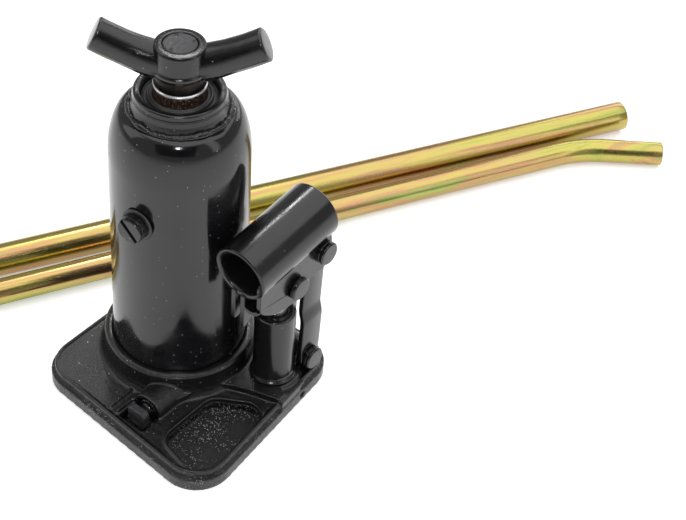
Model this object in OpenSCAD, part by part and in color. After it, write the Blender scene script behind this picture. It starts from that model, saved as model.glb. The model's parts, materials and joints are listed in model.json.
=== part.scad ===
// Hydraulic bottle jack with its two-piece pump handle.
// Origin on the ram axis at ground level: +X towards the pump, -Y towards the release valve, +Z up.

/* [Base casting] */
// Left edge of the base plate, measured from the ram axis
base_left = 47.4; // [46.8:0.2:48]
// Right edge of the base plate beside the ram axis
base_right = 72.7; // [72.3:0.2:73.5]
// Front edge of the base plate below the ram axis
base_front = 65.2; // [65:0.2:66]
// Rear edge of the base plate, measured from the ram axis
base_rear = 53.7; // [53.3:0.2:55]
// Thickness of the base plate
plate_t = 11; // [10.6:0.2:11.4]
// Corner radius of the base plate
corner_r = 20.3; // [19.5:0.2:21]
// Height of the round seat that holds the reservoir
seat_top = 26.6; // [26:0.2:27.4]

/* [Reservoir and ram] */
// Outer radius of the reservoir tube
reservoir_r = 35.7; // [35.4:0.1:35.8]
// Wall thickness of the reservoir tube
reservoir_wall = 2.8; // [2.4:0.1:3.2]
// Height where the reservoir shoulder starts
shoulder_z = 148; // [146:1:150]
// Height of the top of the shoulder
neck_z = 174.6; // [174:0.2:175.4]
// Outer radius of the top collar
collar_r = 22.7; // [22.5:0.1:23]
// Height of the top of the collar
collar_top = 185.5; // [185:0.1:186]
// Radius of the ram
ram_r = 13.2; // [13:0.1:13.4]
// Height of the top of the ram when it is down
ram_top = 189.7; // [189:0.1:190.5]
// Radius of the extension screw
screw_r = 10; // [9.7:0.1:10.2]

/* [Cradle head] */
// Radius of the hub
hub_r = 13; // [12.9:0.1:13.1]
// Underside of the hub
hub_z = 197.1; // [196.6:0.1:197.6]
// Height of the hub
hub_h = 15; // [14.6:0.1:15.4]
// Radius of each horn
horn_r = 8.5; // [8.2:0.1:8.7]
// Half the distance between the centres of the horn tips
horn_reach = 40; // [39:0.2:41]
// Height of the centres of the horn tips above the hub's underside
horn_tip = 17.3; // [16.8:0.1:17.8]
// Slope of the horns at their tips
horn_slope = 29; // [27:0.5:31]
// Turn of the cradle about the ram axis
head_turn = 37.3; // [0:0.1:90]

/* [Pump and linkage] */
// Distance of the pump axis from the ram axis along X
pump_x = 53; // [53:0.1:53.6]
// Distance of the pump axis from the ram axis along Y
pump_y = 15.8; // [15.4:0.1:16]
// Outer radius of the pump barrel
barrel_r = 11; // [10.8:0.05:11.1]
// Top of the pump barrel
barrel_top = 61; // [60:0.5:62]
// Radius of the pump plunger
plunger_r = 6.2; // [6:0.1:6.4]
// Height of the plunger pin
plunger_pin_z = 85.2; // [85:0.1:85.4]
// Y position of the upper link pin
upper_pin_y = 37.6; // [37.5:0.1:37.7]
// Height of the upper link pin
upper_pin_z = 94.6; // [94.5:0.1:94.7]
// Y position of the lower link pin
lower_pin_y = 34.8; // [34.7:0.1:34.9]
// Height of the lower link pin
lower_pin_z = 18.2; // [18.1:0.1:18.3]
// Radius of the linkage pins
pin_r = 3.6; // [3.4:0.1:3.6]

/* [Handle socket] */
// Outer radius of the handle socket
socket_r = 15.6; // [15.4:0.1:15.7]
// Inner radius of the handle socket
socket_bore_r = 12.7; // [12.4:0.1:12.8]
// Length of the handle socket
socket_len = 59; // [58.4:0.2:60]
// Y position of the centre of the mouth
mouth_y = -14.6; // [-15:0.1:-14.4]
// Height of the centre of the mouth
mouth_z = 106.2; // [106:0.1:106.4]
// Upward tilt of the socket towards the rear, in degrees
socket_tilt = 6.5; // [6.4:0.05:6.7]

/* [Release valve and filler plug] */
// X position of the release valve axis
valve_x = 20.9; // [20.5:0.1:21.3]
// Height of the release valve axis
valve_z = 11.6; // [11.4:0.1:11.8]
// Height of the filler plug axis
filler_z = 124.4; // [122:0.2:126]
// Turn of the filler plug from straight ahead towards the pump, in degrees
filler_turn = 7.5; // [6:0.5:9]

/* [Pump handle pieces] */
// Outer diameter of the thick handle tube
thick_d = 18.6; // [18.4:0.1:19]
// Outer diameter of the thin handle tube
thin_d = 14.8; // [14.4:0.1:14.9]
// Wall thickness of the handle tubes
handle_wall = 1.6; // [1.4:0.1:1.7]
// Direction of the thick handle tube on the ground, in degrees from +X
thick_dir = 62.2; // [61.8:0.1:62.4]
// Direction of the thin handle tube on the ground, in degrees from +X
thin_dir = 62.8; // [62.6:0.1:63]
// Length of the thick handle tube
thick_len = 432; // [420:2:440]
// Length of the straight stretch of the thin handle tube
thin_len = 378; // [370:1:385]
// Bend at the end of the thin handle tube, in degrees
thin_bend = 24.3; // [23:0.1:25]

/* [Hidden] */
$fn = 96;

black = [0.03, 0.03, 0.035];
steel = [0.62, 0.63, 0.65];
seal_black = [0.08, 0.08, 0.08];
copper = [0.72, 0.43, 0.2];
zinc_yellow = [0.75, 0.68, 0.32];

running = 0.05; // radial clearance of a sliding or turning fit
tuck = 0.02; // inset of a straight side between two rounded corners, which it would only graze
nib = 0.01; // overlap that makes a cut run clean through
rim_z = 7.2; // height of the step in the plate's edge
rim_in = 2; // inset of the plate above the step
front_slope = 0.079; // the front edge runs outwards to the right
right_slope = 0.096; // the right edge runs inwards to the rear
block_front = 1.5; // front and rear faces of the pump block
block_rear = 22.5;
seat_r = 40.3; // outer radius of the seat
reservoir_floor = 16; // floor of the ring that holds oil
cylinder_r = 19.5; // outer radius of the working cylinder
cylinder_bore = 16.2;
cylinder_floor = 13;
cylinder_top = 172;
collar_foot = 158; // underside of the collar, inside the shoulder
gland_z = 175; // underside of the collar's gland
gland_top = 180.6; // floor of the recess in the collar
recess_r = 19.1;
dome_r = 26.4; // radius where the shoulder meets the collar's weld
ram_bottom = 30;
ram_bore_floor = 50;
screw_bottom = 100;
stub_r = 8.6; // screw end on which the head turns
horn_root = 8; // distance from the axis at which a horn's centre line starts, inside the hub
root_slope = 18; // slope of the horns there
chamber_z = 7.6; // floor of the pump chamber
barrel_seat = 10.4;
spigot_r = 8.4; // stepped-down foot of the barrel, in the base
pump_boss_r = 13;
pump_boss_top = 14.4;
passage_r = 1.8;
pressure_z = 9.6;
suction_z = 3.9;
outlet_dist = 6.8; // distance of the outlet ball from the ram axis
pickup_dist = 27; // distance of the suction hole from the ram axis
pump_angle = atan2(pump_y, pump_x);
ball_r = 2.6;
valve_front = -48; // front face of the release valve boss
pocket_corners = [[49.5, -50], [64.5, -53.5], [60.8, -17.5], [49.5, -24.5]];
pocket_r = 9.5;
trough_y = -60.5; // front of the trough round the valve's head
valve_boss_r = 9.2;
valve_bore_r = 4.1;
valve_seat_y = -16.5; // where the valve's passage turns to the working cylinder
release_z = 9.6; // height of the release passage under the working cylinder
release_end = [9.5, -3.5]; // where the release passage rises into the working cylinder
filler_dir = [0, 0, filler_turn - 90];
cheek_t = 2.9;
cheek_out = 13.4; // outer face of a cheek in front, from the pump axis
cheek_back = 11.4; // the same beside the link
joggle_y = 24; // where the cheek steps inwards
link_t = 3;
link_top_out = 8.2; // outer face of a link plate between the cheeks
link_low_out = 10; // the same beside the base lug
link_r = 7; // lower end of the link plates, just clear of the base
link_top_r = 5.4; // upper end, under the bore of the socket
link_mid = 7.6; // half width of the link below its upper end
link_foot_z = 25; // where the link is full width
link_neck_z = 84; // where it starts to narrow
head_face = 16.4; // outer face of the upper pin heads
low_head_face = 14.2; // outer face of the lower pin head
head_r = 6.5;
pin_tail = -15.6; // left end of the upper pins
low_tail = -12.4; // left end of the lower pin
lug_r = 7.8; // lug that carries the lower link pin
lug_half = link_low_out - link_t - 0.5;
eye_r = 7.4;
eye_half = 6.2; // half the width of the plunger's eye
slot_half = 2.4; // half the travel of the pin in the plunger's slotted eye
flange_bottom = 71.4; // lower end of the flange under the mouth
end_len = 36.7; // stretch of the thin handle tube beyond its bend

// Outline of four rounded corners about given centres, in anticlockwise order
module rounded_quad(c, r) {
    for (p = c) translate(p) circle(r);
    polygon([for (i = [0:3]) let (a = c[i], b = c[(i + 1) % 4], e = (b - a) / norm(b - a))
        each [a + (r - tuck) * [e[1], -e[0]], b + (r - tuck) * [e[1], -e[0]]]]);
}

// Centres of the plate's corners, and the plate's right edge beside a given y
plate_front_y = corner_r * norm([1, front_slope]) - base_front;
plate_right_x = base_right - corner_r * norm([1, right_slope]);
plate_corner_x = (plate_right_x - right_slope * plate_front_y) / (1 - right_slope * front_slope);
plate_rear_y = base_rear - corner_r;
plate_corners = [
    [corner_r - base_left, plate_front_y - front_slope * (corner_r - base_left)],
    [plate_corner_x, plate_front_y - front_slope * plate_corner_x],
    [plate_right_x - right_slope * plate_rear_y, plate_rear_y],
    [corner_r - base_left, plate_rear_y]
];
function right_edge(y) = base_right - right_slope * y;

// Plate outline, inset by a distance
module plate_outline(inset) {
    rounded_quad(plate_corners, corner_r - inset);
}

module slab(z0, z1) {
    translate([0, 0, z0]) linear_extrude(z1 - z0) children();
}

module tube(r_out, r_in, z0, z1) {
    rotate_extrude() translate([r_in, z0]) square([r_out - r_in, z1 - z0]);
}

// Ring of round section
module torus(r, wire_r) {
    rotate_extrude() translate([r, 0]) circle(wire_r, $fn = 32);
}

// Children drawn in the Y-Z plane, given thickness from x0 to x1
module across_x(x0, x1) {
    translate([x0, 0, 0]) rotate([90, 0, 90]) linear_extrude(x1 - x0) children();
}

// Cylinder along X through a point of the Y-Z plane
module rod_x(r, x0, x1, y, z) {
    translate([x0, y, z]) rotate([0, 90, 0]) cylinder(r = r, h = x1 - x0);
}

module at_pump() {
    translate([pump_x, 0, 0]) children();
}

// Headed pin along X with a groove for its clip
module headed_pin(r, head_r, tail, head_from, head_to, y, z) {
    groove = 1.1;
    difference() {
        union() {
            rod_x(r, tail, head_from + nib, y, z);
            translate([head_from, y, z]) rotate([0, 90, 0]) {
                cylinder(r = head_r, h = head_to - head_from - 0.8);
                translate([0, 0, head_to - head_from - 0.8]) cylinder(r1 = head_r, r2 = head_r - 0.8, h = 0.8);
            }
        }
        translate([tail + groove, y, z]) rotate([0, 90, 0]) tube(r + 1, r - 0.9, 0, groove);
    }
}

// Open retaining clip in the groove of a pin
module pin_clip(r, tail, y, z) {
    groove = 1.1;
    gap = 60;
    translate([tail + groove + 0.05, y, z]) rotate([0, 90, 0]) rotate([0, 0, gap / 2])
        rotate_extrude(angle = 360 - gap) translate([r - 0.85, 0]) square([2.6, groove - 0.1]);
}

module base_casting() color(black) difference() {
    union() {
        slab(0, rim_z) plate_outline(0);
        slab(rim_z - nib, plate_t) plate_outline(rim_in);
        // seat of the reservoir, with a sloping foot
        rotate_extrude() polygon([[0, 2], [seat_r + 1.6, 2], [seat_r + 1.6, plate_t], [seat_r + 1, plate_t + 2],
            [seat_r + 0.4, plate_t + 5], [seat_r, seat_top - 1], [seat_r - 1, seat_top], [0, seat_top]]);
        // release valve boss
        translate([valve_x, valve_front, valve_z]) rotate([-90, 0, 0]) cylinder(r = valve_boss_r, h = 24);
        translate([valve_x - valve_boss_r, valve_front, 5]) cube([2 * valve_boss_r, 24, valve_z - 5]);
        // shelf between the seat, the valve boss and the pump
        slab(5, 15) polygon([[valve_x, -34], [valve_x + valve_boss_r, -34], [35, -15], [43, -8], [54, -3.5],
            [right_edge(7) - rim_in, block_front], [right_edge(7) - rim_in, 7], [36, 18], [26, -10]]);
        // pump block, almost flush with the edge of the plate
        slab(2, 13.4) polygon([[36, block_front], [right_edge(block_front) - 0.3, block_front],
            [right_edge(block_rear) - 0.3, block_rear], [36, block_rear]]);
        translate([pump_x, pump_y, 5]) cylinder(r = pump_boss_r, h = pump_boss_top - 5);
        // lug of the lower link pin
        at_pump() rod_x(lug_r, -lug_half, lug_half, lower_pin_y, lower_pin_z);
        at_pump() translate([-lug_half, lower_pin_y - lug_r, 5]) cube([2 * lug_half, 2 * lug_r, lower_pin_z - 5]);
        // two ribs beside the valve
        for (x = [4, 9]) translate([x, -60, plate_t - 1]) cube([1.8, 17, 2.6]);
    }
    // pocket in the front right corner
    slab(4, plate_t + 20) rounded_quad(pocket_corners, pocket_r);
    // trough round the valve's head
    translate([valve_x - 8.6, trough_y, 3.8]) cube([17.2, valve_front - trough_y, 20]);
    // seats of the reservoir and the working cylinder
    translate([0, 0, reservoir_floor]) cylinder(r = reservoir_r + 0.02, h = 20);
    translate([0, 0, cylinder_floor]) cylinder(r = cylinder_r + 0.02, h = 20);
    // room for the pump barrel and its chamber
    translate([pump_x, pump_y, pump_boss_top]) cylinder(r = barrel_r + 0.6, h = 40);
    translate([pump_x, pump_y, barrel_seat]) cylinder(r = spigot_r + 0.02, h = 20);
    translate([pump_x, pump_y, chamber_z]) cylinder(r = plunger_r + running, h = 20);
    translate([pump_x, pump_y, suction_z]) cylinder(r = passage_r, h = 10);
    // pressure and suction passages, drilled from the edge under the pump
    rotate([0, 0, pump_angle]) {
        translate([outlet_dist, 0, pressure_z]) rotate([0, 90, 0]) cylinder(r = passage_r, h = 80);
        translate([pickup_dist, 0, suction_z]) rotate([0, 90, 0]) cylinder(r = passage_r, h = 60);
        translate([pickup_dist, 0, suction_z]) cylinder(r = passage_r, h = 20);
        translate([pickup_dist, 0, reservoir_floor - 1.5]) cylinder(r = 4.02, h = 20);
        translate([outlet_dist, 0, pressure_z]) cylinder(r = passage_r, h = 10);
        translate([outlet_dist, 0, pressure_z + 1.6]) cylinder(r = ball_r + 0.3, h = 10);
    }
    // release valve bore and seat, its return hole and its passage from the working cylinder
    translate([valve_x, valve_front - 1, valve_z]) rotate([-90, 0, 0]) {
        cylinder(r = 6.6, h = 5);
        cylinder(r = valve_bore_r, h = 28);
        cylinder(r = passage_r, h = valve_seat_y - valve_front + 2);
    }
    translate([valve_x, valve_front + 24, valve_z]) cylinder(r = passage_r, h = 10);
    translate([valve_x, valve_seat_y, release_z - 1]) cylinder(r = passage_r + 0.2, h = valve_z - release_z + 2);
    translate([valve_x, valve_seat_y, release_z])
        rotate([0, 0, atan2(release_end[1] - valve_seat_y, release_end[0] - valve_x)]) rotate([0, 90, 0])
        cylinder(r = passage_r, h = norm([release_end[0] - valve_x, release_end[1] - valve_seat_y]) + 1);
    translate([release_end[0], release_end[1], release_z - 1]) cylinder(r = passage_r + 0.2, h = 10);
    // bore of the lower link pin
    at_pump() rod_x(pin_r - 0.3 + running, -20, 20, lower_pin_y, lower_pin_z);
}

// Profile of the reservoir's outer skin from the bottom to the neck, moved inwards by a distance
function shell_profile(inset) = [
    for (z = [reservoir_floor + 0.8, shoulder_z]) [reservoir_r - inset, z],
    for (a = [5:5:80]) [dome_r + (reservoir_r - dome_r) * cos(a) - inset,
        shoulder_z + (neck_z - shoulder_z - inset) * sin(a)],
    [dome_r - 1 - inset, neck_z - inset]
];

module reservoir_shell() color(black) difference() {
    rotate_extrude() polygon(concat([[0, reservoir_floor + 0.8]], shell_profile(0), [[0, neck_z]]));
    rotate_extrude() polygon(concat([[0, 0], [reservoir_r - reservoir_wall, 0]], shell_profile(reservoir_wall),
        [[0, neck_z - reservoir_wall]]));
    translate([0, 0, shoulder_z]) cylinder(r = collar_r + 0.02, h = 60);
    rotate(filler_dir) translate([0, 0, filler_z]) rotate([0, 90, 0]) cylinder(r = 6.02, h = 60);
}

module reservoir_gasket() color(seal_black)
    tube(reservoir_r - 0.05, reservoir_r - reservoir_wall, reservoir_floor, reservoir_floor + 0.8);

module working_cylinder() color(steel) tube(cylinder_r, cylinder_bore, cylinder_floor + 0.8, cylinder_top);

module cylinder_gasket() color(copper)
    tube(cylinder_r - 0.05, cylinder_bore, cylinder_floor, cylinder_floor + 0.8);

module top_collar() color(black) {
    difference() {
        translate([0, 0, collar_foot]) cylinder(r = collar_r, h = collar_top - collar_foot);
        translate([0, 0, collar_foot - 1]) cylinder(r = cylinder_r + 0.02, h = cylinder_top - collar_foot + 1);
        translate([0, 0, collar_foot]) cylinder(r = cylinder_bore, h = gland_z - collar_foot);
        cylinder(r = ram_r + running, h = collar_top + 1);
        translate([0, 0, gland_top]) cylinder(r = recess_r, h = 10);
        translate([0, 0, collar_top - 0.8]) cylinder(r1 = recess_r, r2 = recess_r + 0.9, h = 0.9);
    }
    // flared foot of the collar and the weld that joins it to the reservoir
    rotate_extrude() polygon([[collar_r - 1, neck_z], [dome_r - 1.6, neck_z], [collar_r + 0.7, neck_z + 5],
        [collar_r, collar_top - 3], [collar_r - 1, collar_top - 3]]);
    translate([0, 0, neck_z + 0.6]) torus(dome_r - 1.4, 1.6);
}

module ram_wiper() color(seal_black) {
    tube(17.4, ram_r + 0.3, gland_top, gland_top + 1);
    tube(16.2, ram_r + 0.3, gland_top + 1 - nib, gland_top + 2);
}

module suction_strainer() color(steel) rotate([0, 0, pump_angle])
    translate([pickup_dist, 0, reservoir_floor - 1.5]) difference() {
        cylinder(r = 4, h = 1.5);
        for (a = [0:60:300]) rotate([0, 0, a]) translate([2.2, 0, -1]) cylinder(r = 0.6, h = 4);
        translate([0, 0, -1]) cylinder(r = 0.6, h = 4);
    }

module inlet_ball() color(steel)
    translate([pump_x, pump_y, chamber_z + sqrt(ball_r * ball_r - passage_r * passage_r)]) sphere(ball_r - 0.02);

module outlet_ball() color(steel) rotate([0, 0, pump_angle])
    translate([outlet_dist, 0, pressure_z + 1.6 + sqrt(ball_r * ball_r - passage_r * passage_r)]) sphere(ball_r - 0.02);

// Coil of round wire, swept ring by ring
module coil(r, wire_r, z0, pitch, turns) {
    sides = 8;
    steps = 16 * turns;
    points = [for (i = [0:steps], k = [0:sides - 1])
        let (a = 360 * i / 16, b = 360 * k / sides, q = r + wire_r * cos(b))
        [q * cos(a), q * sin(a), z0 + pitch * i / 16 + wire_r * sin(b)]];
    faces = [for (i = [0:steps - 1], k = [0:sides - 1])
        let (m = (k + 1) % sides) [i * sides + k, i * sides + m, (i + 1) * sides + m, (i + 1) * sides + k]];
    polyhedron(points, concat(faces, [[for (k = [sides - 1:-1:0]) k]],
        [[for (k = [0:sides - 1]) steps * sides + k]]));
}

module outlet_spring() color(steel) rotate([0, 0, pump_angle])
    translate([outlet_dist, 0, 0]) coil(2, 0.35, pressure_z + 1.6 + 2 * ball_r - 0.1, 2, 4);

module passage_plugs() color(black) rotate([0, 0, pump_angle]) {
    translate([65, 0, pressure_z]) rotate([0, 90, 0]) cylinder(r = passage_r, h = 5);
    translate([65, 0, suction_z]) rotate([0, 90, 0]) cylinder(r = passage_r, h = 5);
}

module pump_barrel() color(black) translate([pump_x, pump_y, 0]) difference() {
    union() {
        cylinder(r = barrel_r, h = barrel_top - 0.8);
        translate([0, 0, barrel_top - 0.8]) cylinder(r1 = barrel_r, r2 = barrel_r - 0.8, h = 0.8);
    }
    translate([0, 0, -1]) cylinder(r = plunger_r + running, h = barrel_top + 2);
    translate([0, 0, -1]) tube(barrel_r + 1, spigot_r, 0, pump_boss_top + 1);
    translate([0, 0, -1]) cylinder(r = barrel_r + 1, h = barrel_seat + 1.8);
}

module barrel_gasket() color(copper)
    translate([pump_x, pump_y, 0]) tube(spigot_r - 0.05, plunger_r + running, barrel_seat, barrel_seat + 0.8);

module release_ball() color(steel) translate([valve_x, valve_front + 25.4, valve_z]) sphere(2.38);

// Valve spindle: four-lobed flat head, stem, collar ring and threaded body
module release_valve_spindle() color(black) translate([valve_x, valve_front, valve_z]) rotate([90, 0, 0])
    difference() {
        union() {
            translate([0, 0, -22.8]) cylinder(r = valve_bore_r - running, h = 23);
            translate([0, 0, -2.6]) cylinder(r = 5.9, h = 2.4);
            translate([0, 0, -1]) cylinder(r = 3.4, h = 6);
            translate([0, 0, 4.6]) cylinder(r = 5.7, h = 4.1);
            for (a = [45:90:315]) rotate([0, 0, a]) translate([4.6, 0, 4.6]) cylinder(r = 2.6, h = 4.1);
        }
        translate([0, 0, -18.4]) tube(8, 2.9, 0, 2.2);
    }

module release_o_ring() color(seal_black) translate([valve_x, valve_front + 17.3, valve_z]) rotate([90, 0, 0])
    tube(valve_bore_r - running, 2.95, -1, 1);

module at_filler() {
    rotate(filler_dir) translate([0, 0, filler_z]) rotate([0, 90, 0]) children();
}

// Filler plug: shank in the wall, round head with a screwdriver slot
module filler_plug() color(black) at_filler() difference() {
    union() {
        translate([0, 0, reservoir_r - 6]) cylinder(r = 4.6, h = 8);
        translate([0, 0, reservoir_r + 1.4]) cylinder(r = 7, h = 5.6);
        translate([0, 0, reservoir_r + 7]) cylinder(r1 = 7, r2 = 6.4, h = 0.6);
    }
    translate([0, 0, reservoir_r + 7.2]) rotate([0, 0, 42]) cube([20, 1.6, 3], center = true);
}

module filler_seal() color(seal_black) at_filler() difference() {
    union() {
        translate([0, 0, reservoir_r - 5]) cylinder(r = 6, h = 5.8);
        translate([0, 0, reservoir_r + 0.3]) cylinder(r = 8.8, h = 1);
    }
    translate([0, 0, reservoir_r - 10]) cylinder(r = 4.62, h = 20);
}

module ram() color([0.3, 0.25, 0.2]) difference() {
    union() {
        translate([0, 0, ram_bottom]) cylinder(r = ram_r, h = ram_top - ram_bottom - 1);
        translate([0, 0, ram_top - 1]) cylinder(r1 = ram_r, r2 = ram_r - 1, h = 1);
        translate([0, 0, ram_bottom + 3]) cylinder(r = cylinder_bore - running, h = 8);
    }
    translate([0, 0, ram_bore_floor]) cylinder(r = screw_r + running, h = ram_top);
    translate([0, 0, ram_top - 1.4]) cylinder(r1 = screw_r, r2 = screw_r + 1.5, h = 1.5);
    translate([0, 0, ram_bottom + 11.2]) tube(ram_r + 3, ram_r - 0.9, 0, 2);
}

module piston_cup() color(seal_black) tube(cylinder_bore - running, ram_r, ram_bottom + 0.6, ram_bottom + 3);

module piston_washer() color(steel) tube(cylinder_bore - 0.5, ram_r, ram_bottom - 0.6, ram_bottom + 0.6);

module ram_stop_ring() color(steel) tube(ram_r + 1.5, ram_r - 0.85, ram_bottom + 11.3, ram_bottom + 13.1);

module extension_screw() color([0.2, 0.18, 0.16]) difference() {
    union() {
        translate([0, 0, screw_bottom]) cylinder(r = screw_r, h = hub_z - 0.1 - screw_bottom);
        translate([0, 0, ram_top + 0.3]) cylinder(r = ram_r - 0.3, h = hub_z - ram_top - 0.4);
        cylinder(r = stub_r, h = hub_z + hub_h);
    }
    translate([0, 0, -1]) cylinder(r = screw_r + 1, h = screw_bottom + 1);
    translate([0, 0, screw_bottom + 3]) tube(screw_r + 1, screw_r - 1, 0, 2);
    // staking marks on the end of the screw
    for (a = [30, 150, 270]) rotate([0, 0, a + head_turn]) translate([6.6, 0, hub_z + hub_h - 0.8])
        cylinder(r1 = 0.3, r2 = 1.3, h = 0.9);
}

module screw_stop_ring() color(steel) tube(screw_r - 0.1, screw_r - 0.95, screw_bottom + 3.1, screw_bottom + 4.9);

// One horn as a round bar curving upwards, cut square at the tip
module horn() {
    bend_r = (horn_reach - horn_root) / (sin(horn_slope) - sin(root_slope));
    translate([horn_reach - bend_r * sin(horn_slope), 0, hub_z + horn_tip + bend_r * cos(horn_slope)])
        rotate([90, 0, 0]) rotate([0, 0, root_slope - 90])
            rotate_extrude(angle = horn_slope - root_slope) translate([bend_r, 0]) circle(horn_r);
}

module cradle_head() color(black) rotate([0, 0, head_turn]) difference() {
    union() {
        translate([0, 0, hub_z]) cylinder(r = hub_r + 1, h = 3);
        translate([0, 0, hub_z + 3 - nib]) cylinder(r = hub_r, h = hub_h - 4 + nib);
        translate([0, 0, hub_z + hub_h - 1]) cylinder(r1 = hub_r, r2 = hub_r - 1, h = 1);
        difference() {
            for (a = [0, 180]) rotate([0, 0, a]) horn();
            translate([0, 0, hub_z - 20]) cylinder(r = hub_r + 0.3, h = 20 + nib);
        }
    }
    translate([0, 0, hub_z - 1]) cylinder(r = stub_r + running, h = hub_h + 30);
}

module pump_plunger() color(steel) translate([pump_x, pump_y, 0]) difference() {
    union() {
        translate([0, 0, 20]) cylinder(r = plunger_r, h = plunger_pin_z - 25);
        translate([-eye_half, -slot_half, plunger_pin_z - eye_r]) cube([2 * eye_half, 2 * slot_half, 2 * eye_r]);
        for (y = [-slot_half, slot_half]) rod_x(eye_r, -eye_half, eye_half, y, plunger_pin_z);
    }
    for (y = [-slot_half, slot_half]) rod_x(pin_r + 0.6, -8, 8, y, plunger_pin_z);
    translate([-8, -slot_half, plunger_pin_z - pin_r - 0.6]) cube([16, 2 * slot_half, 2 * pin_r + 1.2]);
    translate([0, 0, 22]) tube(plunger_r + 2, plunger_r - 1.6, 0, 4.4);
}

module plunger_seal() color(seal_black) translate([pump_x, pump_y, 0])
    tube(plunger_r - 0.02, plunger_r - 1.55, 22.1, 24.6);

module plunger_backup_ring() color([0.9, 0.9, 0.86]) translate([pump_x, pump_y, 0])
    tube(plunger_r - 0.02, plunger_r - 1.55, 24.7, 26.3);

// Link plate beside the pump axis: close to it between the cheeks, further out beside the base lug
module link_plate() difference() {
    union() {
        rod_x(link_r, link_top_out - link_t, link_low_out, lower_pin_y, lower_pin_z);
        rod_x(link_top_r, link_top_out - link_t, link_low_out, upper_pin_y, upper_pin_z);
        across_x(link_top_out - link_t, link_low_out) polygon([
            [lower_pin_y - link_r + 0.1, lower_pin_z], [lower_pin_y + link_r - 0.1, lower_pin_z],
            [lower_pin_y + link_mid, link_foot_z],
            [upper_pin_y + link_mid, link_neck_z], [upper_pin_y + link_top_r - 0.1, upper_pin_z],
            [upper_pin_y - link_top_r + 0.1, upper_pin_z], [upper_pin_y - link_mid, link_neck_z],
            [lower_pin_y - link_mid, link_foot_z]]);
    }
    // step inwards, on the outer and on the inner face
    rotate([90, 0, 0]) translate([0, 0, -100]) linear_extrude(150)
        polygon([[link_top_out, 120], [link_top_out, 54], [link_low_out, 46], [20, 46], [20, 120]]);
    rotate([90, 0, 0]) translate([0, 0, -100]) linear_extrude(150)
        polygon([[0, 0], [link_low_out - link_t, 0], [link_low_out - link_t, 46], [link_top_out - link_t, 54],
            [0, 54]]);
    rod_x(pin_r - 0.3 + running, 0, 30, lower_pin_y, lower_pin_z);
    rod_x(pin_r + running, 0, 30, upper_pin_y, upper_pin_z);
}

module link_plate_right() color(black) at_pump() link_plate();

module link_plate_left() color(black) at_pump() mirror([1, 0, 0]) link_plate();

module lower_link_pin() color(black) at_pump()
    headed_pin(pin_r - 0.3, head_r, low_tail, link_low_out, low_head_face, lower_pin_y, lower_pin_z);

module lower_pin_clip() color(steel) at_pump() pin_clip(pin_r - 0.3, low_tail, lower_pin_y, lower_pin_z);

// Outline of a cheek in the Y-Z plane: low in front, stepped up beside the link
module cheek_outline(front) {
    polygon([[front, mouth_z], [front, 88], [front + 2.3, 85], [front + 7.6, 80.6], [front + 13.8, 77.4],
        [10, 75.8], [18, 75.8], [22.5, 77.4], [26, 79.8], [32, 80.6], [39, 80.4], [43, 82.4], [45.8, 86],
        [46, 91], [45.2, 98], [43.6, 111], [30, 111]]);
}

// Cheek beside the pump axis: near the side of the socket in front, set in beside the link
module cheek(front) difference() {
    across_x(cheek_back - cheek_t, cheek_out) cheek_outline(front);
    linear_extrude(120) {
        polygon([[cheek_out + 5, joggle_y], [cheek_out, joggle_y], [cheek_back, joggle_y + 5], [cheek_back, 80],
            [cheek_out + 5, 80]]);
        polygon([[0, -30], [cheek_out - cheek_t, -30], [cheek_out - cheek_t, joggle_y],
            [cheek_back - cheek_t, joggle_y + 5], [0, joggle_y + 5]]);
    }
}

module in_socket() {
    translate([0, mouth_y, mouth_z]) rotate([socket_tilt - 90, 0, 0]) children();
}

module handle_socket() color(black) at_pump() difference() {
    union() {
        in_socket() cylinder(r = socket_r, h = socket_len);
        cheek(mouth_y + 1);
        mirror([1, 0, 0]) cheek(4);
        // flange and leg under the mouth, where the rolled sheet ends
        translate([0.4, mouth_y + 1.6, flange_bottom]) cube([2.9, 10.5, 22]);
        translate([-5.6, mouth_y + 1.6, flange_bottom + 2]) cube([2.9, 10.5, 20]);
    }
    in_socket() translate([0, 0, -1]) cylinder(r = socket_bore_r, h = socket_len + 2);
    // window in the floor of the socket for the plunger's eye, and a gap for the link's upper end
    translate([-eye_half - 0.6, 4.5, 90]) cube([2 * eye_half + 1.2, 23, 10]);
    rod_x(link_top_r + 0.6, -link_top_out - 0.4, link_top_out + 0.4, upper_pin_y, upper_pin_z);
    translate([-link_top_out - 0.4, 27.4, 50]) cube([2 * link_top_out + 0.8, 50, upper_pin_z - 50]);
    rod_x(pin_r + nib, -30, 30, upper_pin_y, upper_pin_z);
    rod_x(pin_r + nib, -30, 30, pump_y, plunger_pin_z);
    // hole in the flange
    rod_x(3, -0.5, 10, mouth_y + 7.4, 77);
}

module upper_link_pin() color(black) at_pump()
    headed_pin(pin_r, head_r, pin_tail, cheek_back, head_face, upper_pin_y, upper_pin_z);

module upper_pin_clip() color(steel) at_pump() pin_clip(pin_r, pin_tail, upper_pin_y, upper_pin_z);

module plunger_pin() color(black) at_pump()
    headed_pin(pin_r, head_r, pin_tail, cheek_out, head_face, pump_y, plunger_pin_z);

module plunger_pin_clip() color(steel) at_pump() pin_clip(pin_r, pin_tail, pump_y, plunger_pin_z);

// Ground line of a handle piece, starting at its left end
module along_handle(x, y, d, dir) {
    translate([x, y, d / 2]) rotate([0, 0, dir]) rotate([0, 90, 0]) children();
}

module handle_tube_thick() color(zinc_yellow) along_handle(-130.6, -34.7, thick_d, thick_dir) difference() {
    cylinder(d = thick_d, h = thick_len);
    translate([0, 0, -1]) cylinder(d = thick_d - 2 * handle_wall, h = thick_len + 2);
}

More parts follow.
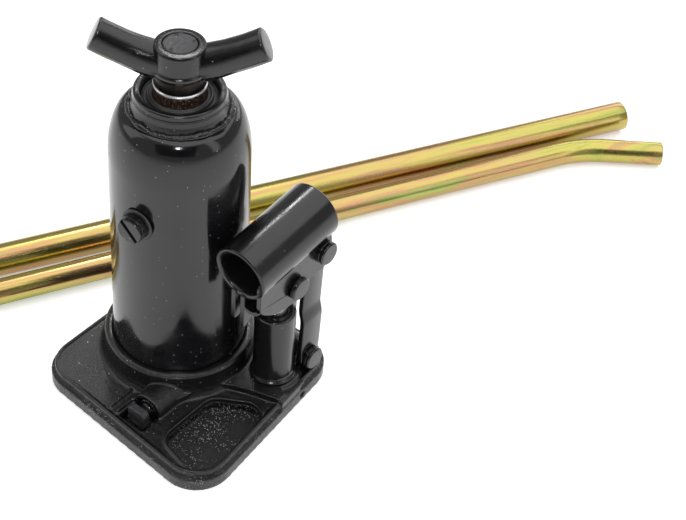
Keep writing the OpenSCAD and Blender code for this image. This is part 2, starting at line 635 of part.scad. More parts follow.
// Round bar with a bend near its right end; the bend is a little swollen and laps over both straight stretches
module bent_bar(d, over) {
    bend_r = 80;
    lap = 1.5;
    swell = 0.3;
    translate([0, 0, -over]) cylinder(d = d, h = thin_len + over);
    translate([0, -bend_r, thin_len]) rotate([0, -90, 0]) rotate([0, 0, 90]) {
        rotate([0, 0, lap]) rotate_extrude(angle = -thin_bend - 2 * lap) translate([bend_r, 0])
            circle(d = d + swell);
        rotate([0, 0, -thin_bend]) translate([bend_r, 0, 0]) rotate([90, 0, 0]) cylinder(d = d, h = end_len + over);
    }
}

module handle_tube_thin() color(zinc_yellow) along_handle(-112.6, -51.7, thin_d, thin_dir) difference() {
    bent_bar(thin_d, 0);
    bent_bar(thin_d - 2 * handle_wall, 1);
}

base_casting();
reservoir_shell();
reservoir_gasket();
working_cylinder();
cylinder_gasket();
top_collar();
ram_wiper();
suction_strainer();
inlet_ball();
outlet_ball();
outlet_spring();
passage_plugs();
pump_barrel();
barrel_gasket();
release_ball();
release_valve_spindle();
release_o_ring();
filler_plug();
filler_seal();
ram();
piston_cup();
piston_washer();
ram_stop_ring();
extension_screw();
screw_stop_ring();
cradle_head();
pump_plunger();
plunger_seal();
plunger_backup_ring();
link_plate_right();
link_plate_left();
lower_link_pin();
lower_pin_clip();
handle_socket();
upper_link_pin();
upper_pin_clip();
plunger_pin();
plunger_pin_clip();
handle_tube_thick();
handle_tube_thin();
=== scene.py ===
import json
import math

import bmesh
import bpy
from mathutils import Matrix, Vector, noise


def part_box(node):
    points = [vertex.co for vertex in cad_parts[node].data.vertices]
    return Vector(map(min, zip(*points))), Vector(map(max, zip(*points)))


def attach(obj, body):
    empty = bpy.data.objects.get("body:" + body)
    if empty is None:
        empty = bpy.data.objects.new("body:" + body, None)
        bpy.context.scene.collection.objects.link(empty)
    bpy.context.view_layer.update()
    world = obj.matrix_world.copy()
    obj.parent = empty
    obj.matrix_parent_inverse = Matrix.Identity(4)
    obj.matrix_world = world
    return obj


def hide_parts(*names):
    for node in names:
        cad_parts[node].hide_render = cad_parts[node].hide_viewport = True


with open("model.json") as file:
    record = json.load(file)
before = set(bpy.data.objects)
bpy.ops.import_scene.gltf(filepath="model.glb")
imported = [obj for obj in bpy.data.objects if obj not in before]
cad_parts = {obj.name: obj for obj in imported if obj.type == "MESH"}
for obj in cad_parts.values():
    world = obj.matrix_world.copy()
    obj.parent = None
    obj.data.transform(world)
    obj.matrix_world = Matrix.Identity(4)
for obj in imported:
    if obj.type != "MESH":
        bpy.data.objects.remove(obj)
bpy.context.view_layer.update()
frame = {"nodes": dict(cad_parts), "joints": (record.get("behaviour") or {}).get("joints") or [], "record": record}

MM = 0.001
JOINTS = {j["name"]: j for j in frame["joints"]}
MOUNTS = {m["name"]: m for m in frame["record"]["mounts"]}


# ---------- where things are, from the CAD frame, in millimetres ----------

def box(node):
    lo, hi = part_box(node)
    return lo / MM, hi / MM


def middle(node):
    lo, hi = box(node)
    return (lo + hi) / 2


def joint_at(name):
    return Vector(JOINTS[name]["pos_m"]) / MM


base_hi = box("base_casting")[1]
shell_lo, shell_hi = box("reservoir_shell")
collar_hi = box("top_collar")[1]
ram_hi = box("ram")[1]
screw_lo, screw_hi = box("extension_screw")
barrel_hi = box("pump_barrel")[1]
plunger_lo = box("pump_plunger")[0]
spindle_lo = box("release_valve_spindle")[0]
pump = middle("pump_barrel")
to_pump = Matrix.Translation((pump.x, pump.y, 0))
valve = joint_at("release_valve_turn")
upper_pin = joint_at("rocker_swing")
lower_pin = joint_at("link_swing")
plunger_pin = middle("plunger_pin")


# ---------- mesh helpers, all in millimetres ----------

def finish_mesh(name, verts, faces, mat, body, slot_name, nodes=(), angle=38, bevel=0.0, segments=3):
    mesh = bpy.data.meshes.new(name)
    mesh.from_pydata([Vector(v) * MM for v in verts], [], faces)
    mesh.validate()
    obj = bpy.data.objects.new(name, mesh)
    bpy.context.scene.collection.objects.link(obj)
    bm = bmesh.new()
    bm.from_mesh(mesh)
    bmesh.ops.remove_doubles(bm, verts=bm.verts, dist=1e-6)
    bmesh.ops.recalc_face_normals(bm, faces=bm.faces)
    bm.to_mesh(mesh)
    bm.free()
    mesh.shade_smooth()
    if bevel:
        mod = obj.modifiers.new("bevel", "BEVEL")
        mod.width = bevel * MM
        mod.segments = segments
        mod.limit_method = "ANGLE"
        mod.angle_limit = math.radians(32)
        mod.harden_normals = True
        mesh.set_sharp_from_angle(angle=math.radians(32))
    else:
        mesh.set_sharp_from_angle(angle=math.radians(angle))
    mesh.materials.append(mat)
    if nodes:
        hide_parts(*nodes)
    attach(obj, body)
    return obj


def soft(points, r, n=4):
    """Open polyline of (a, b) pairs with its inner corners rounded by r."""
    out = [points[0]]
    for p0, p1, p2 in zip(points, points[1:], points[2:]):
        a, b, c = Vector(p0), Vector(p1), Vector(p2)
        u, v = a - b, c - b
        k = min(r, u.length * 0.45, v.length * 0.45)
        if k < 1e-4 or u.angle(v, math.pi) > math.radians(172):
            out.append(p1)
            continue
        s, e = b + u.normalized() * k, b + v.normalized() * k
        for i in range(n + 1):
            t = i / n
            out.append(tuple(s * (1 - t) ** 2 + b * 2 * t * (1 - t) + e * t * t))
    out.append(points[-1])
    return out


def lathe(profile, segs=96, closed=False):
    """Rings of a (radius, height) profile about Z."""
    verts, faces, rows = [], [], []
    for r, z in profile:
        if r < 1e-5:
            rows.append([len(verts)])
            verts.append((0, 0, z))
        else:
            rows.append(list(range(len(verts), len(verts) + segs)))
            for i in range(segs):
                a = 2 * math.pi * i / segs
                verts.append((r * math.cos(a), r * math.sin(a), z))
    pairs = list(zip(rows, rows[1:]))
    if closed:
        pairs.append((rows[-1], rows[0]))
    for p, q in pairs:
        for i in range(segs):
            j = (i + 1) % segs
            if len(p) == 1 and len(q) == 1:
                continue
            if len(p) == 1:
                faces.append((p[0], q[i], q[j]))
            elif len(q) == 1:
                faces.append((p[i], p[j], q[0]))
            else:
                faces.append((p[i], p[j], q[j], q[i]))
    return verts, faces


def moved(shape, matrix):
    return [matrix @ Vector(v) for v in shape[0]], shape[1]


def joined(*shapes):
    verts, faces = [], []
    for v, f in shapes:
        k = len(verts)
        verts += list(v)
        faces += [tuple(i + k for i in g) for g in f]
    return verts, faces


def along_x(x, y, z):
    return Matrix.Translation((x, y, z)) @ Matrix.Rotation(math.radians(90), 4, "Y")


def grid(rows, wrap=True, caps=False):
    """Faces over equal rows of points; wrap closes each row."""
    verts = [p for row in rows for p in row]
    n = len(rows[0])
    faces = []
    for r in range(len(rows) - 1):
        for i in range(n if wrap else n - 1):
            j = (i + 1) % n
            faces.append((r * n + i, r * n + j, (r + 1) * n + j, (r + 1) * n + i))
    if caps:
        faces.append(tuple(range(n - 1, -1, -1)))
        faces.append(tuple((len(rows) - 1) * n + i for i in range(n)))
    return verts, faces


def rounded(points, r, n=5):
    """Closed outline with its corners rounded."""
    k = len(points)
    out = []
    for i in range(k):
        out += soft([points[i - 1], points[i], points[(i + 1) % k]], r, n)[1:-1]
    return out


def circle(r, n=40, centre=(0, 0)):
    return [(centre[0] + r * math.cos(2 * math.pi * i / n), centre[1] + r * math.sin(2 * math.pi * i / n))
            for i in range(n)]


def plate(outline, holes, t0, t1, cuts=(), bend=None):
    """Flat plate in (y, z) between x = t0 and t1, with holes.

    cuts are the y positions of extra edges, along which bend moves x."""
    bm = bmesh.new()
    edges = []
    for loop in [outline] + list(holes):
        vs = [bm.verts.new((t0, p[0], p[1])) for p in loop]
        edges += [bm.edges.new((vs[i], vs[(i + 1) % len(vs)])) for i in range(len(vs))]
    made = bmesh.ops.triangle_fill(bm, use_beauty=True, use_dissolve=False, edges=edges)
    flat = [g for g in made["geom"] if isinstance(g, bmesh.types.BMFace)]
    more = bmesh.ops.extrude_face_region(bm, geom=flat)
    for v in more["geom"]:
        if isinstance(v, bmesh.types.BMVert):
            v.co.x = t1
    for y in cuts:
        bmesh.ops.bisect_plane(bm, geom=bm.verts[:] + bm.edges[:] + bm.faces[:], plane_co=(0, y, 0),
                               plane_no=(0, 1, 0))
    bmesh.ops.dissolve_limit(bm, angle_limit=math.radians(1), verts=bm.verts[:], edges=bm.edges[:])
    if bend:
        for v in bm.verts:
            v.co.x += bend(v.co.y, v.co.z)
    bm.verts.index_update()
    verts = [v.co.copy() for v in bm.verts]
    faces = [tuple(v.index for v in f.verts) for f in bm.faces]
    bm.free()
    return verts, faces


def smoothstep(a, b, x):
    """0 below a, 1 above b, smooth between."""
    t = min(1.0, max(0.0, (x - a) / (b - a)))
    return t * t * (3 - 2 * t)


# ---------- materials ----------

class Shade:
    """One procedural material, built node by node."""

    def __init__(self, name):
        self.mat = bpy.data.materials.new(name)
        self.mat.use_nodes = True
        self.t = self.mat.node_tree
        self.bsdf = self.t.nodes["Principled BSDF"]
        self.coord = self.t.nodes.new("ShaderNodeTexCoord").outputs["Object"]

    def node(self, kind, **sockets):
        n = self.t.nodes.new(kind)
        for k, v in sockets.items():
            if hasattr(v, "links"):
                self.t.links.new(v, n.inputs[k])
            else:
                n.inputs[k].default_value = v
        return n

    def noise(self, scale, detail=3.0, stretch=None, turn=0.0, rough=0.55):
        v = self.coord
        if stretch:
            m = self.node("ShaderNodeMapping", Vector=v)
            m.inputs["Rotation"].default_value = (0, 0, -turn)
            m2 = self.node("ShaderNodeMapping", Vector=m.outputs[0])
            m2.inputs["Scale"].default_value = stretch
            v = m2.outputs[0]
        n = self.node("ShaderNodeTexNoise", Vector=v, Scale=scale, Detail=detail, Roughness=rough)
        return n.outputs["Fac"]

    def ramp(self, fac, stops):
        n = self.node("ShaderNodeValToRGB", Fac=fac)
        e = n.color_ramp.elements
        while len(e) < len(stops):
            e.new(0.5)
        for item, (pos, col) in zip(e, stops):
            item.position = pos
            item.color = (*col, 1) if len(col) == 3 else col
        return n.outputs["Color"]

    def grey(self, fac, a, b, va, vb):
        n = self.node("ShaderNodeMapRange", Value=fac)
        n.inputs["From Min"].default_value = a
        n.inputs["From Max"].default_value = b
        n.inputs["To Min"].default_value = va
        n.inputs["To Max"].default_value = vb
        return n.outputs[0]

    def mix(self, fac, a, b):
        n = self.t.nodes.new("ShaderNodeMix")
        n.data_type = "RGBA"
        for s, v in ((n.inputs[0], fac), (n.inputs[6], a), (n.inputs[7], b)):
            if hasattr(v, "links"):
                self.t.links.new(v, s)
            else:
                s.default_value = v if isinstance(v, float) else (*v, 1)
        return n.outputs[2]

    def math(self, op, a, b):
        n = self.t.nodes.new("ShaderNodeMath")
        n.operation = op
        for s, v in zip(n.inputs, (a, b)):
            if hasattr(v, "links"):
                self.t.links.new(v, s)
            else:
                s.default_value = v
        return n.outputs[0]

    def specks(self, scale, size, sparse):
        """Small scattered dots, 0 to 1."""
        v = self.node("ShaderNodeTexVoronoi", Vector=self.coord, Scale=scale)
        dot = self.grey(v.outputs["Distance"], size * 0.6, size, 1.0, 0.0)
        some = self.grey(self.node("ShaderNodeSeparateColor", Color=v.outputs["Color"]).outputs[0],
                         sparse, sparse + 0.02, 0.0, 1.0)
        return self.math("MULTIPLY", dot, some)

    def bump(self, *layers):
        normal = None
        for height, strength, distance in layers:
            n = self.node("ShaderNodeBump", Height=height, Strength=strength, Distance=distance * MM)
            if normal is not None:
                self.t.links.new(normal, n.inputs["Normal"])
            normal = n.outputs[0]
        self.t.links.new(normal, self.bsdf.inputs["Normal"])

    def set(self, **sockets):
        for k, v in sockets.items():
            s = self.bsdf.inputs[k.replace("_", " ")]
            if hasattr(v, "links"):
                self.t.links.new(v, s)
            else:
                s.default_value = (*v, 1) if isinstance(v, tuple) else v
        return self.mat


def enamel(name, grain, peel, dust, rough, tone_up=1.0, sunk=None):
    """Black gloss enamel: orange peel, casting grain below it, and dust specks.

    sunk, in metres, is the height below which bare cast grain shows, with pale specks painted in there as glints
    of light."""
    s = Shade(name)
    wear = s.noise(38, 5)
    dots = s.specks(640, 0.15, dust)
    tone = s.ramp(wear, [(0.35, [v * tone_up for v in (0.0035, 0.0035, 0.0042)]),
                         (0.7, [v * tone_up for v in (0.0075, 0.0072, 0.0078)])])
    colour = s.mix(dots, tone, (0.5, 0.5, 0.48))
    s.set(Roughness=s.grey(s.noise(95, 4), 0.3, 0.7, rough, rough + 0.13))
    layers = [(s.noise(520, 2), peel, 0.12)]
    if grain:
        layers += [(s.noise(900, 5, rough=0.7), grain, 0.55), (s.noise(210, 3), grain * 0.7, 0.9)]
    layers.append((dots, 0.4, 0.1))
    if sunk:
        depth = s.node("ShaderNodeSeparateXYZ", Vector=s.coord).outputs["Z"]
        low = s.grey(depth, sunk - 0.0008, sunk, 1.0, 0.0)
        layers.append((s.math("MULTIPLY", low, s.noise(760, 4, rough=0.65)), 1.0, 1.1))
        # below sunk, pale grey specks are mixed into the colour: painted highlights standing in for glints of
        # light on the cast grain
        patch = s.math("MULTIPLY", low, s.grey(s.noise(55, 2), 0.45, 0.6, 0.0, 1.0))
        painted_glint = s.math("MULTIPLY", patch, s.specks(1150, 0.34, 0.60))
        colour = s.mix(painted_glint, colour, (0.42, 0.42, 0.43))
    s.bump(*layers)
    return s.set(Base_Color=colour, Specular_IOR_Level=0.5)


def metal(name, dark, light, rough, grain_scale=700, stretch=None, pit=0.05):
    """Bare metal: mottled tone, directional grain and fine pits."""
    s = Shade(name)
    s.set(Base_Color=s.ramp(s.noise(120, 5), [(0.35, dark), (0.68, light)]),
          Roughness=s.grey(s.noise(260, 4, stretch), 0.3, 0.7, rough - 0.06, rough + 0.12), Metallic=1.0)
    s.bump((s.noise(grain_scale, 4, stretch), pit, 0.2), (s.specks(900, 0.3, 0.8), 0.3, -0.1))
    return s.mat


gloss = enamel("gloss_black", 0.0, 0.05, 0.90, 0.07)
pressed = enamel("pressed_black", 0.05, 0.08, 0.975, 0.13)
cast = enamel("cast_black", 0.5, 0.2, 0.90, 0.10, sunk=0.0092)
forged = enamel("forged_black", 0.16, 0.12, 0.92, 0.09)
sawn = enamel("sawn_black", 0.3, 0.2, 0.93, 0.36, 4.0)
steel = metal("bright_steel", (0.42, 0.42, 0.43), (0.72, 0.72, 0.72), 0.26)
dark_steel = metal("oily_screw", (0.010, 0.009, 0.008), (0.04, 0.034, 0.030), 0.30)
copper = metal("soft_copper", (0.55, 0.27, 0.12), (0.8, 0.45, 0.24), 0.35)


def brown_ram():
    """Ram with brown oil film and flecks of rust."""
    s = Shade("oily_ram")
    blotch = s.noise(330, 6, rough=0.7)
    fleck = s.specks(1300, 0.42, 0.72)
    tone = s.ramp(blotch, [(0.32, (0.012, 0.009, 0.008)), (0.52, (0.05, 0.03, 0.022)),
                           (0.72, (0.17, 0.10, 0.07))])
    s.set(Base_Color=s.mix(fleck, tone, (0.42, 0.30, 0.22)), Metallic=0.55,
          Roughness=s.grey(s.noise(240, 4), 0.3, 0.7, 0.22, 0.42))
    s.bump((blotch, 0.25, 0.25), (fleck, 0.3, 0.1))
    return s.mat


def plain_soft(name, dark, light, rough):
    """Rubber or plastic, mottled and lightly pitted."""
    s = Shade(name)
    s.set(Base_Color=s.ramp(s.noise(160, 4), [(0.3, dark), (0.7, light)]),
          Roughness=s.grey(s.noise(300, 3), 0.3, 0.7, rough - 0.08, rough + 0.1))
    s.bump((s.noise(1500, 4), 0.15, 0.1))
    return s.mat


def zinc():
    """Yellow zinc plating: gold, green and pink drift over drawn tube."""
    s = Shade("yellow_zinc")
    axis = Vector(MOUNTS["handle_tube_bore"]["axis"])
    turn = math.atan2(axis.y, axis.x)
    drift = s.noise(1.0, 4, (7, 120, 90), turn, 0.6)
    film = s.noise(1.0, 3, (16, 60, 60), turn, 0.5)
    scratch = s.noise(1.0, 5, (60, 2600, 2600), turn, 0.7)
    hue = s.ramp(drift, [(0.30, (0.26, 0.30, 0.07)), (0.42, (0.42, 0.39, 0.10)), (0.50, (0.46, 0.36, 0.11)),
                         (0.58, (0.45, 0.25, 0.13)), (0.66, (0.28, 0.34, 0.09)), (0.78, (0.46, 0.42, 0.15))])
    hue = s.mix(s.grey(film, 0.45, 0.7, 0.0, 0.4), hue, (0.46, 0.27, 0.17))
    s.set(Base_Color=s.mix(s.grey(scratch, 0.6, 0.8, 0.0, 0.35), hue, (0.26, 0.22, 0.08)), Metallic=1.0,
          Roughness=s.grey(scratch, 0.3, 0.7, 0.15, 0.30))
    s.bump((scratch, 0.05, 0.1), (s.noise(240, 3), 0.05, 0.2))
    return s.mat


ram_brown = brown_ram()
yellow_zinc = zinc()
rubber = plain_soft("nitrile_rubber", (0.010, 0.010, 0.010), (0.035, 0.033, 0.032), 0.5)
ptfe = plain_soft("white_ptfe", (0.72, 0.71, 0.66), (0.88, 0.87, 0.83), 0.4)

CAD_LOOK = {"black_enamel": pressed, "bright_steel": steel, "oiled_steel": dark_steel, "seal_rubber": rubber,
            "copper_washer": copper, "white_ptfe": ptfe, "yellow_zinc": yellow_zinc}
for part in frame["record"]["subparts"]:
    node = frame["nodes"][part["node"]]
    node.data.materials.clear()
    node.data.materials.append(CAD_LOOK[part["material_slot"]])


# ---------- base casting ----------

def bead(path, r, n=10):
    """Closed round bead along a level path of (x, y, z)."""
    rows = []
    k = len(path)
    for i, p in enumerate(path):
        d = (Vector(path[(i + 1) % k]) - Vector(path[i - 1])).normalized()
        side = Vector((d.y, -d.x, 0))
        rows.append([Vector(p) + side * r * math.cos(a) + Vector((0, 0, r * math.sin(a)))
                     for a in [2 * math.pi * j / n for j in range(n)]])
    rows.append(rows[0])
    return grid(rows)


def cad_copy(node):
    """Points and faces of a CAD node, which itself stays as it is."""
    mesh = frame["nodes"][node].data
    return [v.co / MM for v in mesh.vertices], [tuple(p.vertices) for p in mesh.polygons]


def fused(name, shape, voxel, rounds, mat, body, slot_name, nodes):
    """One skin over overlapping closed shapes, with softened corners."""
    obj = finish_mesh(name, shape[0], shape[1], mat, body, slot_name, nodes, 180)
    remesh = obj.modifiers.new("skin", "REMESH")
    remesh.mode = "VOXEL"
    remesh.voxel_size = voxel * MM
    remesh.use_smooth_shade = True
    relax = obj.modifiers.new("relax", "SMOOTH")
    relax.factor = 0.5
    relax.iterations = rounds
    return obj


plate_top = 11.0
seat_r = 40.3
seat_top = base_hi.z


def corner_quad(centres, r, n=10):
    """Outline of four rounded corners about given centres, anticlockwise."""
    out = []
    for i, c in enumerate(centres):
        before, after = [Vector(q) - Vector(p) for p, q in ((centres[i - 1], c), (c, centres[(i + 1) % 4]))]
        a0 = math.atan2(-before.x, before.y)
        sweep = (math.atan2(-after.x, after.y) - a0) % (2 * math.pi)
        out += [(c[0] + r * math.cos(a0 + sweep * k / n), c[1] + r * math.sin(a0 + sweep * k / n))
                for k in range(n + 1)]
    return out


plate_centres = [(-27.1, -42.74), (56.98, -49.39), (49.05, 33.4), (-27.1, 33.4)]
pocket_centres = [(49.5, -50.0), (64.5, -53.5), (60.8, -17.5), (49.5, -24.5)]
extras = [
    bead([(x, y, plate_top + 0.1) for x, y in corner_quad(plate_centres, 17.2)], 1.0),
    bead([(x, y, plate_top + 0.1) for x, y in corner_quad(pocket_centres, 10.2)], 0.8),
    lathe([(38, 9), (44.5, 10.2), (42.6, 11.6), (41.4, 13.6), (40.7, 16.5), (38, 17)], 120, True),
    moved(lathe([(9, 9), (16.4, 10), (14.6, 12.6), (13.6, 14.8), (9, 15)], 64, True), to_pump),
]
fused("base_casting_skin", joined(cad_copy("base_casting"), *extras), 0.55, 3, cast, "base", "black_enamel",
      ["base_casting"])

ring = soft([(seat_r - 4.4, 20), (seat_r - 4.4, seat_top - 0.2), (seat_r - 3.6, seat_top + 0.15),
             (seat_r - 1.4, seat_top + 0.15), (seat_r - 1.1, seat_top - 0.9), (seat_r + 0.2, seat_top - 1.3),
             (seat_r + 0.25, 18), (seat_r - 1, 17)], 0.5)
finish_mesh("seat_ring_edge", *lathe(ring, 160), forged, "base", "black_enamel")


# ---------- reservoir, collar, ram and screw ----------

shell_wall = 2.8
r0, r1 = shell_hi.x, 26.4  # radius of the wall, and of the neck above the shoulder
z0, z1 = 148.0, shell_hi.z  # height at which the shoulder starts, and its top
outer = [(r0, shell_lo.z)] + [(r0, shell_lo.z + (z0 - shell_lo.z) * i / 24) for i in range(1, 25)]
outer += [(r1 + (r0 - r1) * math.cos(math.radians(a)), z0 + (z1 - z0) * math.sin(math.radians(a)))
          for a in range(3, 88, 3)]
outer += [(r1 - 0.6, z1), (r1 - 3, z1 + 0.2)]
inner = [(r - shell_wall, min(z, z1 - shell_wall)) for r, z in reversed(outer)]
finish_mesh("reservoir_skin", *lathe(outer + inner, 192, True), gloss, "base", "black_enamel",
            ["reservoir_shell"])

top = collar_hi.z
collar = soft([(22.0, z1 - 1), (r1 - 1.2, z1 - 1), (r1 - 1.9, z1 + 1.6), (23.5, z1 + 4.4), (23.1, top - 4.2),
               (23.3, top - 3.4), (22.9, top - 2.6), (22.7, top - 0.6), (22.0, top), (20.1, top),
               (19.6, top - 0.5), (19.1, top - 1.2), (19.1, 180.6), (13.3, 180.6), (13.3, 175),
               (16, 174.6)], 0.5)
finish_mesh("collar_skin", *lathe(collar, 160), forged, "base", "black_enamel", ["top_collar"])


def weld(r, z, thick):
    """Uneven, scalloped weld bead around Z."""
    rows = []
    for i in range(420):
        a = 2 * math.pi * i / 420
        c, s = math.cos(a), math.sin(a)
        n1 = noise.noise(Vector((c * 4, s * 4, 3.1)))
        n2 = noise.noise(Vector((c * 17, s * 17, 8.4)))
        scallop = abs(math.sin(34 * a + 2.2 * n1)) ** 0.6
        w = thick * (0.82 + 0.26 * n1 + 0.16 * n2 + 0.14 * scallop)
        rr = r + 0.5 * n1
        zz = z + 0.9 * n1 + 0.3 * n2
        ring = []
        for b in [2 * math.pi * k / 14 for k in range(14)]:
            q = rr + w * 1.15 * math.cos(b)
            ring.append((q * c, q * s, zz + w * math.sin(b)))
        rows.append(ring)
    rows.append(rows[0])
    return grid(rows)


finish_mesh("collar_weld", *weld(r1 - 1.2, z1 + 0.5, 1.6), forged, "base", "black_enamel", angle=180)

lips = soft([(18.9, 180.7), (18.9, 181.6), (17.5, 182.2), (17.2, 181.4), (16.4, 181.5), (16.2, 182.9),
             (15.4, 183.2), (14.6, 182.2), (13.6, 183.0), (13.45, 182.4), (13.45, 180.8)], 0.25)
finish_mesh("ram_wiper_lips", *lathe(lips, 128), rubber, "base", "seal_rubber", ["ram_wiper"])

ram_r = 13.2
ram_shape = soft([(0.001, 49.8), (10.05, 50), (10.05, ram_hi.z - 1.4), (11.5, ram_hi.z), (12.5, ram_hi.z),
                  (ram_r, ram_hi.z - 0.7), (ram_r, 43.3), (ram_r, 41), (16.1, 41), (16.1, 33), (ram_r, 33),
                  (ram_r, 30), (0.001, 30)], 0.25)
finish_mesh("ram_rod", *lathe(ram_shape, 144), ram_brown, "ram", "oiled_steel", ["ram"])
rim = soft([(11.4, ram_hi.z - 0.1), (11.6, ram_hi.z + 0.15), (12.6, ram_hi.z + 0.15), (13.25, ram_hi.z - 0.4),
            (13.3, ram_hi.z - 1.1), (ram_r, ram_hi.z - 1.3)], 0.2)
finish_mesh("ram_rim", *lathe(rim, 144), steel, "ram", "bright_steel")


def threaded(r, z_low, z_high, pitch, depth):
    """Right-hand thread that fades out at both ends."""
    rows = []
    n = 96
    steps = int((z_high - z_low) / (pitch / 10))
    for k in range(steps + 1):
        z = z_low + (z_high - z_low) * k / steps
        fade = smoothstep(z_low, z_low + 1.5, z) * (1 - smoothstep(z_high - 1.5, z_high, z))
        row = []
        for i in range(n):
            t = (z / pitch - i / n) % 1.0
            cut = smoothstep(0.15, 0.4, t) - smoothstep(0.65, 0.9, t)
            q = r - depth * cut * fade
            row.append((q * math.cos(2 * math.pi * i / n), q * math.sin(2 * math.pi * i / n), z))
        rows.append(row)
    return grid(rows, caps=True)


hub_h = 15.0
hub_top = screw_hi.z
hub_z = hub_top - hub_h
finish_mesh("extension_screw_thread", *joined(
    threaded(9.95, screw_lo.z, ram_hi.z + 0.2, 4.0, 1.0),
    lathe(soft([(0.001, ram_hi.z - 0.6), (11.2, ram_hi.z - 0.4), (12.9, ram_hi.z + 0.5), (13.0, hub_z - 0.8),
                (12.3, hub_z), (8.5, hub_z), (8.5, hub_top - 1), (0.001, hub_top - 1)], 0.3), 120)),
    dark_steel, "screw", "oiled_steel", ["extension_screw"])


def staked_end(r, z, turn):
    """Face of the staked screw end, with its punch marks."""
    marks = [(6.9 * math.cos(turn + math.radians(a)), 6.9 * math.sin(turn + math.radians(a)))
             for a in (24, 112, 232)]
    rows = []
    for k in range(41):
        q = r * k / 40
        row = []
        for i in range(96):
            a = 2 * math.pi * i / 96
            x, y = q * math.cos(a), q * math.sin(a)
            dip = sum(0.9 * math.exp(-((x - mx) ** 2 + (y - my) ** 2) / 0.55) for mx, my in marks)
            swell = 0.12 * noise.noise(Vector((x * 0.4, y * 0.4, 1.7)))
            row.append((x, y, z - dip + swell - 0.5 * smoothstep(r - 0.5, r, q)))
        rows.append(row)
    return grid(rows)


head_turn = math.radians(37.3)
finish_mesh("staked_screw_end", *staked_end(8.4, hub_top - 0.15, head_turn), sawn, "screw", "oiled_steel",
            angle=70)


# ---------- cradle head ----------

hub = soft([(8.65, hub_z + 0.1), (13.0, hub_z + 0.1), (13.9, hub_z + 0.9), (14.0, hub_z + 2.6),
            (13.3, hub_z + 3.3), (13.1, hub_z + 4.4), (12.95, hub_top - 1.4), (12.3, hub_top - 0.2),
            (9.4, hub_top), (8.7, hub_top - 0.4), (8.65, hub_top - 3)], 0.45)
horn_r, reach, tip, root = 8.5, 40.0, hub_z + 17.3, 8.0
tip_slope, root_slope = math.radians(29), math.radians(18)
stub_clear = 9.1  # horns stay further than this from the axis, clear of the screw end
skirt_r = 13.5  # and inside this radius they stay above the hub's underside


def horn(sign):
    """One forged horn: a bar on an arc, thicker at its root, with a flash line along both sides."""
    bend_r = (reach - root) / (math.sin(tip_slope) - math.sin(root_slope))
    ux = Vector((math.cos(head_turn), math.sin(head_turn), 0)) * sign
    side = Vector((-ux.y, ux.x, 0))
    rows = []
    steps = 46
    n = 72
    for k in range(steps + 1):
        f = k / steps
        a = root_slope + (tip_slope - root_slope) * f
        c = ux * (reach - bend_r * (math.sin(tip_slope) - math.sin(a)))
        c.z = tip + bend_r * (math.cos(tip_slope) - math.cos(a))
        t = ux * math.cos(a) + Vector((0, 0, math.sin(a)))
        up = ux * -math.sin(a) + Vector((0, 0, math.cos(a)))
        grow = 1 + 0.08 * math.exp(-((f - 0.15) / 0.25) ** 2)
        row = []
        for i in range(n):
            b = 2 * math.pi * i / n
            flash = sum(math.exp(-((abs(b - b0)) / 0.07) ** 2)
                        for b0 in (math.radians(205), math.radians(335)))
            lump = 0.10 * noise.noise(c * 0.12 + Vector((b, 0, 0)))
            q = horn_r * grow * (0.99 - 0.02 * math.cos(2 * b)) + 0.42 * flash * (1 - f ** 6) + lump
            p = c + side * (q * math.cos(b)) + up * (q * math.sin(b))
            if f > 0.8:
                lean = 0.12 * (f - 0.8) / 0.2
                p += t * (-(p - c).dot(ux)) * lean / max(0.3, t.dot(ux))
            p += ux * max(0.0, stub_clear - p.dot(ux))
            if math.hypot(p.x, p.y) < skirt_r:
                p.z = max(p.z, hub_z + 0.3)
            row.append(p)
        rows.append(row)
    last = rows[-1]
    centre = sum(last, Vector()) / n
    for shrink, push in ((0.965, 0.45), (0.90, 0.8), (0.80, 0.95), (0.4, 1.0), (0.01, 1.0)):
        rows.append([centre + (p - centre) * shrink + t * push for p in last])
    return grid(rows, caps=False)


finish_mesh("cradle_hub", *lathe(hub, 128), forged, "cradle", "black_enamel", ["cradle_head"])
for label, sign in (("a", 1), ("b", -1)):
    finish_mesh("cradle_horn_" + label, *horn(sign), forged, "cradle", "black_enamel", angle=50)


# ---------- pump ----------

bt = barrel_hi.z
barrel = soft([(6.4, bt - 6), (6.4, bt - 0.6), (7.2, bt - 0.1), (9.6, bt), (10.7, bt - 0.5), (11.0, bt - 1.3),
               (11.0, 18.6), (11.3, 17.4), (12.4, 16.6), (12.6, 15.7), (12.0, 15.2), (11.8, 13.4),
               (6.4, 13)], 0.5)
finish_mesh("pump_barrel_skin", *moved(lathe(barrel, 120), to_pump), pressed, "base", "black_enamel",
            ["pump_barrel"])
shaft = soft([(0.001, plunger_lo.z), (5.6, plunger_lo.z), (6.15, plunger_lo.z + 0.6),
              (6.15, plunger_pin.z - 11), (5.7, plunger_pin.z - 9.6), (5.2, plunger_pin.z - 5),
              (0.001, plunger_pin.z - 5)], 0.4)
eye = rounded([(pump.y - 9.2, plunger_pin.z - 7.4), (pump.y + 9.2, plunger_pin.z - 7.4),
               (pump.y + 9.2, plunger_pin.z + 6.8), (pump.y - 9.2, plunger_pin.z + 6.8)], 7.0, 8)
slot_hole = rounded([(pump.y - 6.6, plunger_pin.z - 4.2), (pump.y + 6.6, plunger_pin.z - 4.2),
                     (pump.y + 6.6, plunger_pin.z + 4.2), (pump.y - 6.6, plunger_pin.z + 4.2)], 4.1, 8)
finish_mesh("plunger_rod", *moved(lathe(shaft, 96), to_pump), steel, "plunger", "bright_steel",
            ["pump_plunger"])
finish_mesh("plunger_eye", *plate(eye, [slot_hole], pump.x - 6.2, pump.x + 6.2), steel, "plunger",
            "bright_steel", bevel=0.5)


